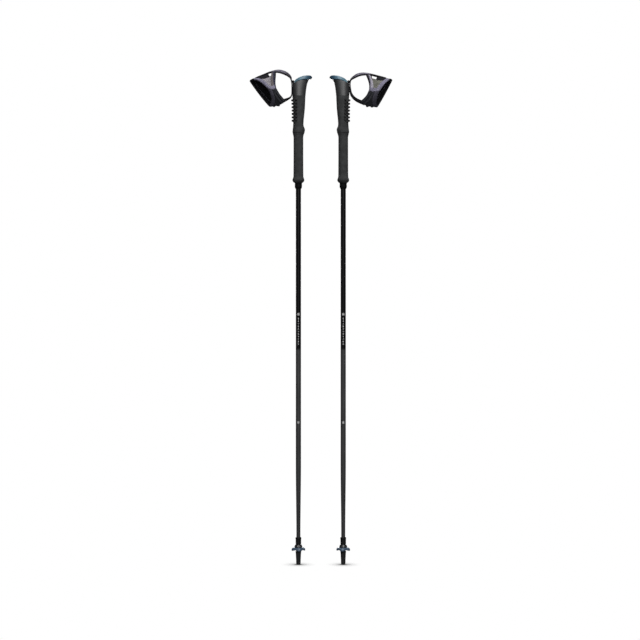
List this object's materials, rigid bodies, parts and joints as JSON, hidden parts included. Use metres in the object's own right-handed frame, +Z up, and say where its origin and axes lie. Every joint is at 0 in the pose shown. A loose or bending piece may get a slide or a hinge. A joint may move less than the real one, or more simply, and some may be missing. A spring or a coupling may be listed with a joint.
{
  "type": "trekking poles",
  "caption": "Pair of fixed-length walking poles with moulded foam grips, angled caps, click-in hand cuffs, lobed mini baskets and rubber tips.",
  "frame": {"origin": "on the ground, midway between the two tips, in the plane of both shafts", "axes": "+Z up along the shafts, +X from the left pole to the right pole, so the straps reach towards -X and +X and the beaks face each other; the cuffs' set-back rims face -Y"},
  "size_m": [0.3552, 0.0559, 1.214],
  "materials": {
    "carbon": "satin",
    "black_plastic": "satin",
    "eva_foam": "matte",
    "grip_rubber": "satin",
    "blue_cap": "satin",
    "steel": "satin",
    "carbide": "satin",
    "webbing": "matte",
    "black_fabric": "matte",
    "liner_fabric": "matte",
    "grey_trim": "matte",
    "mesh_fabric": "matte",
    "basket_blue": "satin",
    "tip_rubber": "matte"
  },
  "bodies": {
    "left_pole": {"left_shaft": "carbon", "left_grip_core": "black_plastic", "left_grip_collar": "black_plastic", "left_foam_extension": "eva_foam", "left_foam_grip": "eva_foam", "left_grip_head": "grip_rubber", "left_top_cap": "blue_cap", "left_catch_pin": "steel", "left_catch_spring": "steel", "left_tip_sleeve": "black_plastic", "left_tip_stud": "steel", "left_carbide_point": "carbide"},
    "left_button": {"left_release_button": "blue_cap"},
    "left_catch": {"left_catch_lever": "steel"},
    "left_hook": {"left_strap_hook": "black_plastic"},
    "left_eye": {"left_strap_eye": "black_plastic"},
    "left_strap": {"left_webbing_loop": "webbing", "left_cuff_shell": "black_fabric", "left_cuff_liner": "liner_fabric", "left_wrist_binding": "grey_trim", "left_front_binding": "grey_trim", "left_mesh_window": "mesh_fabric"},
    "left_flap": {"left_closure_flap": "black_fabric"},
    "left_hub": {"left_basket_hub": "black_plastic"},
    "left_skirt": {"left_basket": "basket_blue"},
    "left_cover": {"left_rubber_tip": "tip_rubber"},
    "right_pole": {"right_shaft": "carbon", "right_grip_core": "black_plastic", "right_grip_collar": "black_plastic", "right_foam_extension": "eva_foam", "right_foam_grip": "eva_foam", "right_grip_head": "grip_rubber", "right_top_cap": "blue_cap", "right_catch_pin": "steel", "right_catch_spring": "steel", "right_tip_sleeve": "black_plastic", "right_tip_stud": "steel", "right_carbide_point": "carbide"},
    "right_button": {"right_release_button": "blue_cap"},
    "right_catch": {"right_catch_lever": "steel"},
    "right_hook": {"right_strap_hook": "black_plastic"},
    "right_eye": {"right_strap_eye": "black_plastic"},
    "right_strap": {"right_webbing_loop": "webbing", "right_cuff_shell": "black_fabric", "right_cuff_liner": "liner_fabric", "right_wrist_binding": "grey_trim", "right_front_binding": "grey_trim", "right_mesh_window": "mesh_fabric"},
    "right_flap": {"right_closure_flap": "black_fabric"},
    "right_hub": {"right_basket_hub": "black_plastic"},
    "right_skirt": {"right_basket": "basket_blue"},
    "right_cover": {"right_rubber_tip": "tip_rubber"}
  },
  "joints": [
    {"name": "left_button_press", "type": "slide", "parent": "left_pole", "child": "left_button", "axis": [0, 0, -1], "range_m": [0, 0.002], "stiffness_N_per_m": 400, "springref_m": -0.001},
    {"name": "left_catch_tilt", "type": "hinge", "parent": "left_pole", "child": "left_catch", "pos_m": [-0.056, 0, 1.1806], "axis": [0, 1, 0], "range_deg": [0, 15], "deforming": ["left_catch_spring"]},
    {"name": "left_strap_release", "type": "slide", "parent": "left_pole", "child": "left_hook", "axis": [-1, 0, 0], "range_m": [0, 0.03]},
    {"name": "left_strap_swing", "type": "hinge", "parent": "left_hook", "child": "left_eye", "pos_m": [-0.0682, 0, 1.1844], "axis": [0, 0, 1], "range_deg": [-25, 25]},
    {"name": "left_strap_lift", "type": "hinge", "parent": "left_eye", "child": "left_strap", "pos_m": [-0.07, 0, 1.186], "axis": [0, 1, 0], "range_deg": [0, 40]},
    {"name": "left_flap_peel", "type": "hinge", "parent": "left_strap", "child": "left_flap", "pos_m": [-0.09936, -0.00491, 1.12944], "axis": [0.8969, 0.0878, 0.4335], "range_deg": [0, 100]},
    {"name": "left_hub_twist", "type": "hinge", "parent": "left_pole", "child": "left_hub", "pos_m": [-0.055, 0, 0.046], "axis": [0, 0, 1], "range_deg": [0, 90]},
    {"name": "left_basket_pull", "type": "slide", "parent": "left_pole", "child": "left_skirt", "axis": [0, 0, -1], "range_m": [0, 0.028]},
    {"name": "left_cover_pull", "type": "slide", "parent": "left_pole", "child": "left_cover", "axis": [0, 0, -1], "range_m": [0, 0.026]},
    {"name": "right_button_press", "type": "slide", "parent": "right_pole", "child": "right_button", "axis": [0, 0, -1], "range_m": [0, 0.002], "stiffness_N_per_m": 400, "springref_m": -0.001},
    {"name": "right_catch_tilt", "type": "hinge", "parent": "right_pole", "child": "right_catch", "pos_m": [0.056, 0, 1.1806], "axis": [0, -1, 0], "range_deg": [0, 15], "deforming": ["right_catch_spring"]},
    {"name": "right_strap_release", "type": "slide", "parent": "right_pole", "child": "right_hook", "axis": [1, 0, 0], "range_m": [0, 0.03]},
    {"name": "right_strap_swing", "type": "hinge", "parent": "right_hook", "child": "right_eye", "pos_m": [0.0682, 0, 1.1844], "axis": [0, 0, 1], "range_deg": [-25, 25]},
    {"name": "right_strap_lift", "type": "hinge", "parent": "right_eye", "child": "right_strap", "pos_m": [0.07, 0, 1.186], "axis": [0, -1, 0], "range_deg": [0, 40]},
    {"name": "right_flap_peel", "type": "hinge", "parent": "right_strap", "child": "right_flap", "pos_m": [0.10953, -0.00491, 1.12735], "axis": [0.9331, -0.0797, -0.3507], "range_deg": [0, 100]},
    {"name": "right_hub_twist", "type": "hinge", "parent": "right_pole", "child": "right_hub", "pos_m": [0.055, 0, 0.046], "axis": [0, 0, 1], "range_deg": [0, 90]},
    {"name": "right_basket_pull", "type": "slide", "parent": "right_pole", "child": "right_skirt", "axis": [0, 0, -1], "range_m": [0, 0.028]},
    {"name": "right_cover_pull", "type": "slide", "parent": "right_pole", "child": "right_cover", "axis": [0, 0, -1], "range_m": [0, 0.026]},
    {"name": "right_pole_carry", "type": "slide", "parent": "left_pole", "child": "right_pole", "axis": [1, 0, 0], "range_m": [0, 0.5]}
  ],
  "couplings": [
    {"joint": "left_catch_tilt", "follows": "left_button_press", "rad_per_m": 130},
    {"joint": "right_catch_tilt", "follows": "right_button_press", "rad_per_m": 130}
  ]
}
